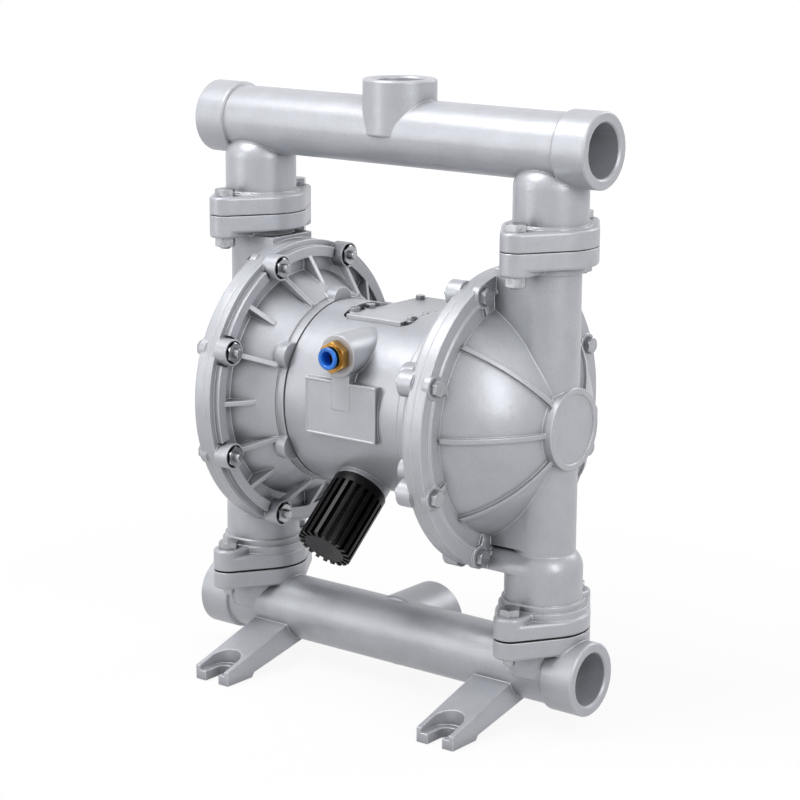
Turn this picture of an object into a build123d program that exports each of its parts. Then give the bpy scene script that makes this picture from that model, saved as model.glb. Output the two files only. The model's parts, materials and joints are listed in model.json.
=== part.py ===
"""Air operated double diaphragm pump, DN 40 ports, cast aluminium casings.

Millimetres, +Z up. The origin is on the floor, under the middle of the body and at the centre of
the four foot slots. X runs along the manifolds, and -Y is the front, where the air goes in and out.
"""

import os
from math import acos, asin, cos, degrees, radians, sin, sqrt

from build123d import *

os.makedirs("parts", exist_ok=True)

# Overall layout
axis_z = 257.0  # height of the diaphragm axis
leg_x = 155.0  # manifold legs and ball valves, from the middle
manifold_half = 205.0  # middle to each manifold end
outlet_z = 486.7  # axis of the upper manifold
inlet_z = 46.1  # axis of the lower manifold
outlet_port_rise = 45.0  # rim of the upper centre port, above the manifold axis
inlet_port_y = 57.0  # rim of the rear centre port
outlet_joint_z = 407.5  # middle of the upper flange joints
inlet_joint_z = 85.0  # middle of the lower flange joints
outlet_gap = 1.0  # between the two flanges of an upper joint
inlet_gap = 2.0  # between the two flanges of a lower joint

# Manifold tubes and ports
tube_r = 28.5
tube_bore_r = 21.5
collar_r = 31.5
collar_length = 32.0
collar_edge_r = 2.5  # inner end
collar_chamfer = 1.2  # rim
thread_r = 22.4  # minor radius of the G 1 1/2 pipe thread
thread_length = 30.0
top_thread_length = 22.5
port_chamfer = 1.6
leg_r = 31.25
leg_wall = 3.75
leg_shoulder_r = 18.0
leg_top_above_axis = -14.5  # top of a leg's rounded shoulder, from the tube axis

# Two-bolt flanges
lug_pitch = 96.0
lug_r = 13.5
flange_core_r = 40.0
manifold_flange_t = 15.5
cover_low_flange_t = 12.5  # a cover's lower flange, between the lugs
cover_low_lug_t = 18.5
cover_top_flange_t = 15.0  # a cover's upper flange, between the lugs
cover_top_lug_t = 19.7
flange_edge_r = 2.5  # on the side away from the joint

# Diaphragm chambers
chamber_bolts = 8
chamber_bolt_circle_r = 118.5
chamber_flange_r = 127.0
seam_x = 111.0  # joint between liquid cover and air chamber
cover_flange_w = 9.7
cover_pad_r = 10.0
cover_pad_w = 1.6  # above the flange
cover_bead_r = 115.0
cover_bead_w = 2.5
cover_bead_rise = 1.2
cover_recess_r = 111.0
cover_recess_depth = 1.5
dome_centre_x = 66.0
dome_r = 113.2
dome_wall = 5.2
dome_foot_r = 99.5
dome_rib_rise = 3.4
rib_t = 4.2
boss_x = 182.5  # outer face of a cover's round boss
boss_r = 34.4
boss_rim_w = 4.9
boss_inset = 1.0
column_r = 26.5
column_wall = 5.0
bulb_r = 32.9
bulb_wall = 4.9
bulb_top_z = 154.0
bulb_shoulder_r = 18.0
bulb_shelf_h = 20.0  # web from the bulb to the chamber flange
bulb_step_r = 37.5
bulb_ridge_r = 34.9
bulb_ridge_h = 5.3  # above the lugs
neck_ring_r = 29.5
neck_ring_h = 4.0
air_flange_w = 7.0
air_land_r = 121.5
air_land_w = 9.0
air_land_rise = 5.5
air_boss_r = 11.3
air_boss_rise = 12.7  # above the back of the flange
nut_recess_r = 9.9
nut_recess_depth = 4.5
air_boss_clear_r = 13.5
cone_foot_r = 101.0
cone_neck_r = 83.0
cone_wall = 4.6
hub_r = 81.0
hub_w = 7.5
partition_w = 6.5
hub_screws = 6  # hold the chamber to the centre body, one in each lobe
lobe_circle_r = 78.0
lobe_r = 12.2
lobe_w = 14.5
lobe_edge_r = 5.0
short_rib_reach = 20.5  # down the cone from the back of the flange

# Centre body
body_r = 79.7
body_half = 60.5  # end face, from the middle
gasket_w = 1.0
gasket_r = 78.5
chest_half_w = 29.0
chest_front_y = -35.0
chest_rear_y = 72.0
chest_seat = 69.5  # under the valve cover's gasket, above the diaphragm axis
valve_cover_t = 5.5
cover_gasket_t = 0.5
cover_screw_x = 30.5
cover_screw_ys = (-21.0, 0.0)
cover_rear_screw = (22.0, 60.0)
cover_ear_r = 6.0
cover_pocket_length = 46.0
cover_pocket_depth = 4.5
front_x = 2.5  # middle of the plate pad and of the air inlet boss
pad_w = 75.0
pad_h = 48.0
pad_rise = 4.3  # middle of the pad, above the diaphragm axis
pad_face = 82.5  # in front of the axis
pad_border = 1.5
pad_recess = 0.5
inlet_boss_rise = 51.0  # above the diaphragm axis
inlet_boss_r = 18.0
inlet_boss_face = 86.0  # in front of the axis
inlet_neck_w = 19.0

# Diaphragm drive
body_screw_r = 70.0
stroke = 12.0  # each way from the middle
shaft_r = 12.5
stud_r = 8.0
plate_r = 58.0
inner_plate_x = 86.0
diaphragm_x = 98.0  # middle of the web between its two plates
diaphragm_w = 3.6
outer_plate_w = 12.0
bead_w = 6.0
bead_r = 110.0
bead_ring_w = 7.0
bead_gap = 0.2
bush_wall = 5.0
bush_length = 30.0
seal_w = 3.6
shaft_nut_af = 24.0
shaft_nut_t = 13.0

# Ball check valves
ball_r = 23.0
ball_lift = 8.0
seat_recess = 3.0
seat_r = 33.6
seat_bore_r = 15.5
seat_cone_r = 19.0  # radius of the seat's 45 degree face at its top
oring_circle_r = 28.0
oring_r = 1.0
guide_t = 4.0
stop_t = 6.0
stop_reach_r = 7.5

# Air valve
spool_rise = 38.0  # spool axis above the diaphragm axis
spool_r = 12.0
spool_neck_r = 7.0
spool_stroke = 8.0
spool_length = 59.0
spool_land_w = 11.0
sleeve_wall = 4.0
sleeve_length = 76.0
front_plug_w = 10.0
chamber_port_y = 14.0
exhaust_port_y = 24.0
exhaust_gallery_drop = 52.0  # below the diaphragm axis
gallery_r = 4.5
feed_slot_w = 12.0
feed_slot_depth = 8.5
pilot_drop = 34.0  # pilot pin below the diaphragm axis
pilot_r = 4.0
pilot_wall = 3.5
pilot_stroke = 4.0

# Air fitting
fitting_hex_af = 24.0
fitting_hex_w = 8.0
fitting_nose_r = 11.0
fitting_nose_w = 2.0
fitting_thread_r = 9.2
fitting_thread_length = 12.0
fitting_flow_r = 4.5
tube_hole_r = 6.1  # for a 12 mm air tube
release_r = 9.5
release_w = 2.7
release_travel = 1.5
release_tail_r = 7.5
release_tail_length = 9.0
tube_socket_length = 8.0

# Muffler
muffler_drop = 25.0  # muffler axis below the diaphragm axis, over the body's middle
muffler_tilt = 41.0  # degrees below level
muffler_r = 24.5
muffler_start = 67.2  # along its axis
muffler_length = 66.0
muffler_collar_w = 9.0
muffler_end_w = 4.0
muffler_end_chamfer = 0.5
muffler_slots = 20
muffler_slot_w = 4.0
muffler_slot_depth = 6.2
muffler_window_w = 1.6
muffler_wall = 2.0
muffler_boss_r = 23.0
element_wall = 3.5
nipple_r = 13.0
nipple_wall = 2.5
nipple_depth = 16.0  # into the body
nipple_reach = 7.0  # into the muffler

# Feet
foot_x = 123.0
foot_w = 37.5
foot_tip_y = 107.0
foot_pad_length = 32.0
foot_tip_t = 12.5
foot_slot_w = 15.0
foot_slot_y = 90.0
foot_pocket_r = 14.5
foot_base_t = 8.5
foot_arm_top = 38.0
foot_relief = 4.0

# Fasteners
m10_r, m10_af, m10_head_t, m10_nut_t = 5.0, 16.0, 6.4, 8.0
m8_r, m8_af, m8_head_t, m8_nut_t = 4.0, 13.0, 5.3, 6.5
m6_r, m6_head_r, m6_head_t, m6_length = 3.0, 5.0, 6.0, 20.0
m5_r, m5_af, m5_head_t, m5_length = 2.5, 8.0, 3.5, 18.0
hole_gap = 0.5  # round a bolt in its clearance hole
thread_gap = 0.1  # round a screw in its threaded hole
running_gap = 0.05  # round a piece that slides
seat_gap = 0.25  # under a ball and round loose rings
thread_end = 2.0  # bolt length that shows past its nut
chamber_thread_end = 5.0
chamber_nut_af = 16.0  # heavy nuts, which fill their recesses
lower_thread_end = 7.0  # lower manifold bolts, past their tapped flange

# Planes and axes worked out from the layout
disc_frame = Plane(origin=(0, 0, axis_z), x_dir=(1, 0, 0), z_dir=(0, -1, 0))
muffler_dir = Vector(0, -cos(radians(muffler_tilt)), -sin(radians(muffler_tilt)))
muffler_origin = Vector(0, 0, axis_z - muffler_drop)
muffler_frame = Plane(origin=muffler_origin, x_dir=muffler_dir, z_dir=(1, 0, 0))
valve_frame = Plane(origin=(leg_x, 0, 0), x_dir=(0, 0, 1), z_dir=(0, 1, 0))
spool_z = axis_z + spool_rise
spool_frame = Plane(origin=(0, 0, spool_z), x_dir=(0, 1, 0), z_dir=(1, 0, 0))
inlet_boss_z = axis_z + inlet_boss_rise
fitting_frame = Plane(origin=(front_x, 0, inlet_boss_z), x_dir=(0, -1, 0), z_dir=(1, 0, 0))
pilot_z = axis_z - pilot_drop
bolt_step = 360 / chamber_bolts
bolt_angles = [(k + 0.5) * bolt_step for k in range(chamber_bolts)]
middle_angles = [k * bolt_step for k in range(chamber_bolts)]
screw_angles = [k * 360 / hub_screws for k in range(hub_screws)]
outlet_port_top = outlet_z + outlet_port_rise
base = (Align.CENTER, Align.CENTER, Align.MIN)
underside, upper_side = 0, -1  # groups of edges, from low to high


def save(piece, name):
    """Label a finished sub-part and write its STEP file."""
    piece.part.label = name
    export_step(piece.part, f"parts/{name}.step")


def turned(outline, frame):
    """Solid of revolution about a frame's x axis, from (distance, radius) points."""
    with BuildPart() as ring:
        with BuildSketch(frame):
            with BuildLine():
                Polyline(*outline, close=True)
            make_face()
        revolve(axis=Axis(frame.origin, frame.x_dir))
    return ring.part


def rod(start, direction, radius, length):
    """Round bar from a point along a direction."""
    with BuildPart(Plane(origin=start, z_dir=direction)) as bar:
        Cylinder(radius, length, align=base)
    return bar.part


def tube(start, direction, radius, bore, length):
    """Round tube from a point along a direction."""
    with BuildPart(Plane(origin=start, z_dir=direction)) as pipe:
        Cylinder(radius, length, align=base)
        Cylinder(bore, length, align=base, mode=Mode.SUBTRACT)
    return pipe.part


def collar(start, direction, length):
    """Thick end of a manifold tube, from its chamfered rim inwards to a rounded end."""
    along = Axis(start, direction)
    with BuildPart(Plane(origin=start, z_dir=direction)) as ring:
        Cylinder(collar_r, length, align=base)
        fillet(edges().filter_by(GeomType.CIRCLE).sort_by(along)[-1], collar_edge_r)
        chamfer(edges().filter_by(GeomType.CIRCLE).sort_by(along)[0], collar_chamfer)
    return ring.part


def on_circle(radius, angle, x):
    """Point at a polar angle from +Z towards +Y, round the diaphragm axis."""
    return (x, radius * sin(radians(angle)), axis_z + radius * cos(radians(angle)))


def radial_frame(angle):
    """Plane of the diaphragm axis and one radius: x along the axis, y outwards."""
    outward = Vector(0, sin(radians(angle)), cos(radians(angle)))
    return Plane(origin=(0, 0, axis_z), x_dir=(1, 0, 0), z_dir=Vector(1, 0, 0).cross(outward))


def radial_plate(outline, angle, thickness):
    """Plate in the plane of the diaphragm axis and one radius, from (x, radius) points."""
    with BuildPart() as plate:
        with BuildSketch(radial_frame(angle)):
            with BuildLine():
                Polyline(*outline, close=True)
            make_face()
        extrude(amount=thickness / 2, both=True)
    return plate.part


def flange_plate(x, low, high, outer_side):
    """Two-bolt flange: a round core drawn out to a lug at each side, rounded on its outer side."""
    with BuildPart() as plate:
        with BuildSketch(Plane.XY.offset(low)):
            with Locations((x, 0)):
                Circle(flange_core_r)
            with Locations((x, -lug_pitch / 2), (x, lug_pitch / 2)):
                Circle(lug_r)
            make_hull()
        extrude(amount=high - low)
        fillet(edges().group_by(Axis.Z)[outer_side], flange_edge_r)
    return plate.part


def lug_bridge(x, low, high, outer_side):
    """Straight pad that joins the two lugs of a flange across its middle, rounded on its outer side."""
    with BuildPart() as bridge:
        with BuildSketch(Plane.XY.offset(low)):
            with Locations((x, 0)):
                SlotCenterToCenter(lug_pitch, 2 * lug_r, rotation=90)
        extrude(amount=high - low)
        fillet(edges().group_by(Axis.Z)[outer_side], flange_edge_r)
    return bridge.part


def hex_bolt(across_flats, head_t, shank_r, length):
    """Bolt with its head above the XY plane and its shank below."""
    corner_r = across_flats / sqrt(3)
    with BuildPart() as bolt:
        with BuildSketch():
            RegularPolygon(across_flats / 2, 6, major_radius=False)
        extrude(amount=head_t)
        with BuildPart(mode=Mode.INTERSECT):
            Cylinder(corner_r, head_t, align=base)
            top = edges().filter_by(GeomType.CIRCLE).sort_by(Axis.Z)[-1]
            chamfer(top, length=(corner_r - across_flats / 2) * 0.6, length2=corner_r - across_flats / 2)
        with Locations((0, 0, -length)):
            Cylinder(shank_r, length, align=base)
        tip = edges().filter_by(GeomType.CIRCLE).sort_by(Axis.Z)[0]
        chamfer(tip, length=shank_r * 0.2)
    return bolt.part


def hex_nut(across_flats, thickness, bore_r):
    """Nut that stands on the XY plane."""
    corner_r = across_flats / sqrt(3)
    with BuildPart() as nut:
        with BuildSketch():
            RegularPolygon(across_flats / 2, 6, major_radius=False)
        extrude(amount=thickness)
        with BuildPart(mode=Mode.INTERSECT):
            Cylinder(corner_r, thickness, align=base)
            rims = edges().filter_by(GeomType.CIRCLE)
            chamfer(rims, length=(corner_r - across_flats / 2) * 0.6, length2=corner_r - across_flats / 2)
        Cylinder(bore_r, thickness, align=base, mode=Mode.SUBTRACT)
    return nut.part


def seat_heights(joint_z, gap):
    """Bottom and top of the ball seat in a flange joint."""
    return joint_z - gap / 2 - seat_recess, joint_z + gap / 2 + seat_recess


def ball_height(joint_z, gap):
    """Centre of a ball that rests on its seat's 45 degree face."""
    return seat_heights(joint_z, gap)[1] - seat_cone_r + sqrt(2) * (ball_r + seat_gap)


def ball_cage(low, stop_z, cavity_r):
    """Four ribs that guide a ball, with inward ends above it that stop it."""
    with BuildPart() as cage:
        for angle in (45, 135, 225, 315):
            with BuildSketch(Plane(origin=(leg_x, 0, 0), x_dir=(cos(radians(angle)), sin(radians(angle)), 0),
                                   z_dir=(sin(radians(angle)), -cos(radians(angle)), 0))):
                with BuildLine():
                    Polyline(
                        (ball_r + 2 * seat_gap, low),
                        (cavity_r + 1, low),
                        (cavity_r + 1, stop_z + stop_t),
                        (stop_reach_r, stop_z + stop_t),
                        (stop_reach_r, stop_z),
                        (ball_r + 2 * seat_gap, stop_z),
                        close=True,
                    )
                make_face()
            extrude(amount=guide_t / 2, both=True)
    return cage.part


def pipe_thread(start, direction, length=thread_length):
    """Cutter for a port's threaded mouth: from its rim inwards, with a lead-in chamfer."""
    with BuildPart(Plane(origin=start, z_dir=direction)) as cutter:
        Cylinder(thread_r, length, align=base)
        Cone(thread_r + port_chamfer, thread_r, port_chamfer, align=base)
    return cutter.part


def other_side(part):
    """The same piece for the other side: turned half round the vertical axis."""
    return part.rotate(Axis.Z, 180)


def placed(part, origin, direction):
    """A fastener drawn on the XY plane, moved so that its head faces a direction."""
    return Plane(origin=origin, z_dir=direction).location * part


inlet_ball_z = ball_height(inlet_joint_z, inlet_gap)
outlet_ball_z = ball_height(outlet_joint_z, outlet_gap)
ball_top_at_stop = sqrt(ball_r**2 - stop_reach_r**2)
inlet_stop_z = inlet_ball_z + ball_top_at_stop + ball_lift + seat_gap
outlet_stop_z = outlet_ball_z + ball_top_at_stop + ball_lift + seat_gap
cover_bottom = inlet_joint_z + inlet_gap / 2
cover_top = outlet_joint_z - outlet_gap / 2
outlet_flange_low = outlet_joint_z + outlet_gap / 2
outlet_flange_top = outlet_flange_low + manifold_flange_t
inlet_flange_top = inlet_joint_z - inlet_gap / 2
inlet_flange_low = inlet_flange_top - manifold_flange_t
bulb_cavity_r = bulb_r - bulb_wall
leg_cavity_r = leg_r - leg_wall
column_bore_r = column_r - column_wall
cover_lug_z = cover_bottom + cover_low_lug_t  # bolt heads of the lower joints sit here
cover_top_lug_z = cover_top - cover_top_lug_t  # nuts of the upper joints sit here
cover_face_x = seam_x + cover_flange_w
cover_pad_x = cover_face_x + cover_pad_w
air_back_x = seam_x - air_flange_w
air_boss_x = air_back_x - air_boss_rise
nut_seat_x = air_boss_x + nut_recess_depth
hub_x = body_half + gasket_w
partition_x = hub_x + partition_w
sides = (-1, 1)
lug_ys = (-lug_pitch / 2, lug_pitch / 2)

# ---------------------------------------------------------------- upper manifold
with BuildPart() as outlet_manifold:
    add(rod((-manifold_half, 0, outlet_z), (1, 0, 0), tube_r, 2 * manifold_half))
    for side in sides:
        add(collar((side * manifold_half, 0, outlet_z), (-side, 0, 0), collar_length))
        leg_top = outlet_z + leg_top_above_axis
        with BuildPart(mode=Mode.ADD):
            with Locations((side * leg_x, 0, outlet_flange_low)):
                Cylinder(leg_r, leg_top - outlet_flange_low, align=base)
            fillet(edges().filter_by(GeomType.CIRCLE).sort_by(Axis.Z)[-1], leg_shoulder_r)
        add(flange_plate(side * leg_x, outlet_flange_low, outlet_flange_top, upper_side))
        add(rod((side * leg_x, 0, outlet_flange_low), (0, 0, 1), leg_r + 3, manifold_flange_t + 1.5))
    add(collar((0, 0, outlet_port_top), (0, 0, -1), outlet_port_rise + 2))
    add(rod((-manifold_half, 0, outlet_z), (1, 0, 0), tube_bore_r, 2 * manifold_half), mode=Mode.SUBTRACT)
    add(rod((0, 0, outlet_z), (0, 0, 1), tube_bore_r, outlet_port_rise), mode=Mode.SUBTRACT)
    add(pipe_thread((0, 0, outlet_port_top), (0, 0, -1), top_thread_length), mode=Mode.SUBTRACT)
    for side in sides:
        add(pipe_thread((side * manifold_half, 0, outlet_z), (-side, 0, 0)), mode=Mode.SUBTRACT)
        add(
            turned(
                [
                    (outlet_flange_low, 0),
                    (outlet_flange_low, leg_cavity_r),
                    (outlet_stop_z, leg_cavity_r),
                    (outlet_stop_z + stop_t, tube_bore_r),
                    (outlet_z, tube_bore_r),
                    (outlet_z, 0),
                ],
                Plane(origin=(side * leg_x, 0, 0), x_dir=(0, 0, 1), z_dir=(0, 1, 0)),
            ),
            mode=Mode.SUBTRACT,
        )
        seat_pocket = rod((side * leg_x, 0, outlet_flange_low), (0, 0, 1), seat_r + seat_gap, seat_recess)
        add(seat_pocket, mode=Mode.SUBTRACT)
        for lug_y in lug_ys:
            hole = rod((side * leg_x, lug_y, outlet_flange_low), (0, 0, 1), m10_r + hole_gap, manifold_flange_t)
            add(hole, mode=Mode.SUBTRACT)
    outlet_cage = ball_cage(seat_heights(outlet_joint_z, outlet_gap)[1] + 1, outlet_stop_z, leg_cavity_r)
    add(outlet_cage)
    add(other_side(outlet_cage))
save(outlet_manifold, "outlet_manifold")

# ---------------------------------------------------------------- lower manifold, with the feet
foot_outline = [
    (foot_tip_y, 0),
    (foot_tip_y, foot_tip_t),
    (tube_r - 2, foot_arm_top - 1.5),
    (0, foot_arm_top),
    (0, inlet_z - tube_r + 1),
    (foot_tip_y - foot_pad_length - 3, foot_relief),
    (foot_tip_y - foot_pad_length, 0),
]
with BuildPart() as inlet_manifold:
    add(rod((-manifold_half, 0, inlet_z), (1, 0, 0), tube_r, 2 * manifold_half))
    for side in sides:
        add(collar((side * manifold_half, 0, inlet_z), (-side, 0, 0), collar_length))
        add(rod((side * leg_x, 0, inlet_z), (0, 0, 1), leg_r, inlet_flange_top - inlet_z))
        add(flange_plate(side * leg_x, inlet_flange_low, inlet_flange_top, underside))
    add(collar((0, inlet_port_y, inlet_z), (0, -1, 0), inlet_port_y + 2))
    for side in sides:
        for front in sides:
            with BuildSketch(Plane(origin=(side * foot_x, 0, 0), x_dir=(0, front, 0), z_dir=(front, 0, 0))):
                with BuildLine():
                    Polyline(*foot_outline, close=True)
                make_face()
            extrude(amount=foot_w / 2, both=True)
            with BuildSketch(Plane.XY.offset(foot_base_t)):
                with Locations((side * foot_x, front * (foot_slot_y + foot_w))):
                    SlotCenterToCenter(2 * foot_w, 2 * foot_pocket_r, rotation=90)
            extrude(amount=foot_arm_top, mode=Mode.SUBTRACT)
            with BuildSketch():
                with Locations((side * foot_x, front * (foot_slot_y + foot_slot_w))):
                    SlotCenterToCenter(2 * foot_slot_w, foot_slot_w, rotation=90)
            extrude(amount=foot_arm_top, mode=Mode.SUBTRACT)
    add(rod((-manifold_half, 0, inlet_z), (1, 0, 0), tube_bore_r, 2 * manifold_half), mode=Mode.SUBTRACT)
    add(rod((0, 0, inlet_z), (0, 1, 0), tube_bore_r, inlet_port_y), mode=Mode.SUBTRACT)
    add(pipe_thread((0, inlet_port_y, inlet_z), (0, -1, 0)), mode=Mode.SUBTRACT)
    for side in sides:
        add(pipe_thread((side * manifold_half, 0, inlet_z), (-side, 0, 0)), mode=Mode.SUBTRACT)
        add(rod((side * leg_x, 0, inlet_z), (0, 0, 1), tube_bore_r, inlet_flange_top - inlet_z), mode=Mode.SUBTRACT)
        seat_pocket = rod((side * leg_x, 0, inlet_flange_top), (0, 0, -1), seat_r + seat_gap, seat_recess)
        add(seat_pocket, mode=Mode.SUBTRACT)
        for lug_y in lug_ys:
            hole = rod((side * leg_x, lug_y, inlet_flange_low), (0, 0, 1), m10_r + thread_gap, manifold_flange_t)
            add(hole, mode=Mode.SUBTRACT)
save(inlet_manifold, "inlet_manifold")

# ---------------------------------------------------------------- liquid covers
dome_inner_r = dome_r - dome_wall
web_start = cover_face_x - cover_pad_w
foot_angle = degrees(asin(dome_foot_r / dome_r))
boss_angle = degrees(asin(boss_r / dome_r))
inner_seam_angle = degrees(acos((seam_x - dome_centre_x) / dome_inner_r))
with BuildPart() as right_liquid_cover:
    with BuildSketch(disc_frame):
        with BuildLine():
            dome_line = CenterArc((dome_centre_x, 0), dome_r, boss_angle, foot_angle - boss_angle)
            Polyline(
                dome_line @ 1,
                (cover_face_x - cover_recess_depth, dome_foot_r),
                (cover_face_x - cover_recess_depth, cover_recess_r),
                (cover_face_x, cover_recess_r + cover_recess_depth),
                (cover_face_x + cover_bead_rise, cover_bead_r - cover_bead_w),
                (cover_face_x + cover_bead_rise, cover_bead_r),
                (cover_face_x, cover_bead_r + cover_bead_rise),
                (cover_face_x, chamber_flange_r),
                (seam_x, chamber_flange_r),
                (seam_x, 0),
                (boss_x - boss_inset, 0),
                (boss_x - boss_inset, boss_r - boss_rim_w),
                (boss_x, boss_r - boss_rim_w),
                (boss_x, boss_r),
                dome_line @ 0,
            )
        make_face()
    revolve(axis=Axis(disc_frame.origin, disc_frame.x_dir))
    for angle in bolt_angles:
        pad_start = cover_face_x - cover_flange_w / 2
        add(rod(on_circle(chamber_bolt_circle_r, angle, pad_start), (1, 0, 0), cover_pad_r, cover_pad_x - pad_start))
        rib_outline = [
            (cover_face_x - cover_pad_w * 2, dome_foot_r),
            (cover_face_x, dome_foot_r),
            (cover_pad_x, dome_foot_r + 3),
            (cover_pad_x, chamber_bolt_circle_r),
            (cover_face_x - cover_pad_w * 2, chamber_bolt_circle_r),
        ]
        add(radial_plate(rib_outline, angle, rib_t))
    for angle in (45, 90, 135, 225, 270, 315):
        with BuildSketch(radial_frame(angle)):
            with Locations((dome_centre_x, 0)):
                Circle(dome_r + dome_rib_rise)
                Circle(dome_r - 1, mode=Mode.SUBTRACT)
            rib_mid = ((cover_face_x + boss_x) / 2 - 1, (dome_foot_r + boss_r) / 2 + 1)
            with Locations(rib_mid):
                Rectangle(boss_x - cover_face_x, dome_foot_r - boss_r + 4, mode=Mode.INTERSECT)
        extrude(amount=rib_t / 2, both=True)
    add(rod((leg_x, 0, cover_bottom), (0, 0, 1), column_r, cover_top - cover_bottom))
    with BuildPart():
        with Locations((leg_x, 0, cover_bottom)):
            Cylinder(bulb_r, bulb_top_z - cover_bottom, align=base)
        fillet(edges().filter_by(GeomType.CIRCLE).sort_by(Axis.Z)[-1], bulb_shoulder_r)
    with Locations(((web_start + leg_x) / 2, 0, (bulb_top_z + cover_top_lug_z) / 2)):
        Box(leg_x - web_start, 2 * column_r, cover_top_lug_z - bulb_top_z)
    with BuildPart():
        with Locations(((web_start + leg_x) / 2, 0, bulb_top_z - bulb_shelf_h / 2)):
            Box(leg_x - web_start, 2 * bulb_r, bulb_shelf_h)
        fillet(edges().filter_by(Axis.X).group_by(Axis.Z)[upper_side], bulb_shoulder_r)
    add(rod((leg_x, 0, cover_bottom), (0, 0, 1), bulb_step_r, cover_low_lug_t))
    add(rod((leg_x, 0, cover_bottom), (0, 0, 1), bulb_ridge_r, cover_low_lug_t + bulb_ridge_h))
    add(rod((leg_x, 0, cover_top_lug_z - 1), (0, 0, 1), neck_ring_r, neck_ring_h))
    add(flange_plate(leg_x, cover_bottom, cover_bottom + cover_low_flange_t, upper_side))
    add(flange_plate(leg_x, cover_top - cover_top_flange_t, cover_top, underside))
    add(lug_bridge(leg_x, cover_bottom, cover_lug_z, upper_side))
    add(lug_bridge(leg_x, cover_top_lug_z, cover_top, underside))
    with BuildSketch(disc_frame):
        with BuildLine():
            inner_line = CenterArc((dome_centre_x, 0), dome_inner_r, 0, inner_seam_angle)
            Polyline(inner_line @ 1, (seam_x, 0), inner_line @ 0)
        make_face()
    revolve(axis=Axis(disc_frame.origin, disc_frame.x_dir), mode=Mode.SUBTRACT)
    add(rod((seam_x, 0, axis_z), (1, 0, 0), bead_r + bead_gap, bead_w / 2), mode=Mode.SUBTRACT)
    add(rod((leg_x, 0, cover_bottom), (0, 0, 1), column_bore_r, cover_top - cover_bottom), mode=Mode.SUBTRACT)
    inlet_cavity = [
        (cover_bottom, 0),
        (cover_bottom, bulb_cavity_r),
        (inlet_stop_z, bulb_cavity_r),
        (inlet_stop_z + 2 * stop_t, column_bore_r),
        (inlet_stop_z + 2 * stop_t, 0),
    ]
    add(turned(inlet_cavity, valve_frame), mode=Mode.SUBTRACT)
    add(rod((leg_x, 0, cover_bottom), (0, 0, 1), seat_r + seat_gap, seat_recess), mode=Mode.SUBTRACT)
    add(rod((leg_x, 0, cover_top), (0, 0, -1), seat_r + seat_gap, seat_recess), mode=Mode.SUBTRACT)
    for lug_y in lug_ys:
        add(rod((leg_x, lug_y, cover_bottom), (0, 0, 1), m10_r + hole_gap, cover_low_lug_t), mode=Mode.SUBTRACT)
        add(rod((leg_x, lug_y, cover_top), (0, 0, -1), m10_r + hole_gap, cover_top_lug_t), mode=Mode.SUBTRACT)
    for angle in bolt_angles:
        hole = rod(on_circle(chamber_bolt_circle_r, angle, seam_x), (1, 0, 0), m8_r + hole_gap, cover_pad_x - seam_x)
        add(hole, mode=Mode.SUBTRACT)
    add(ball_cage(seat_heights(inlet_joint_z, inlet_gap)[1] + 1, inlet_stop_z, bulb_cavity_r))
save(right_liquid_cover, "right_liquid_cover")

with BuildPart() as left_liquid_cover:
    add(other_side(right_liquid_cover.part))
save(left_liquid_cover, "left_liquid_cover")

# ---------------------------------------------------------------- air chambers
land_low_r = air_land_r - air_land_w
chamber_outline = [
    (hub_x, 0),
    (hub_x, hub_r),
    (hub_x + hub_w, hub_r),
    (hub_x + hub_w, cone_neck_r),
    (air_back_x, cone_foot_r),
    (air_back_x, chamber_flange_r),
    (seam_x, chamber_flange_r),
    (seam_x, 0),
]
long_rib = [
    (air_boss_x + 1, land_low_r - 3),
    (hub_x + hub_w, cone_neck_r + 2),
    (hub_x + hub_w, hub_r),
    (air_back_x + 1, land_low_r),
]
cone_slope = (cone_foot_r - cone_neck_r) / (air_back_x - hub_x - hub_w)
short_rib_end_r = cone_foot_r - cone_slope * short_rib_reach
short_rib = [
    (air_back_x + 1, land_low_r + 1),
    (air_back_x - air_land_rise, land_low_r + 1),
    (air_back_x - short_rib_reach, short_rib_end_r + 1),
    (air_back_x - short_rib_reach, short_rib_end_r - 1),
    (air_back_x + 1, cone_foot_r - 2),
]
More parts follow.
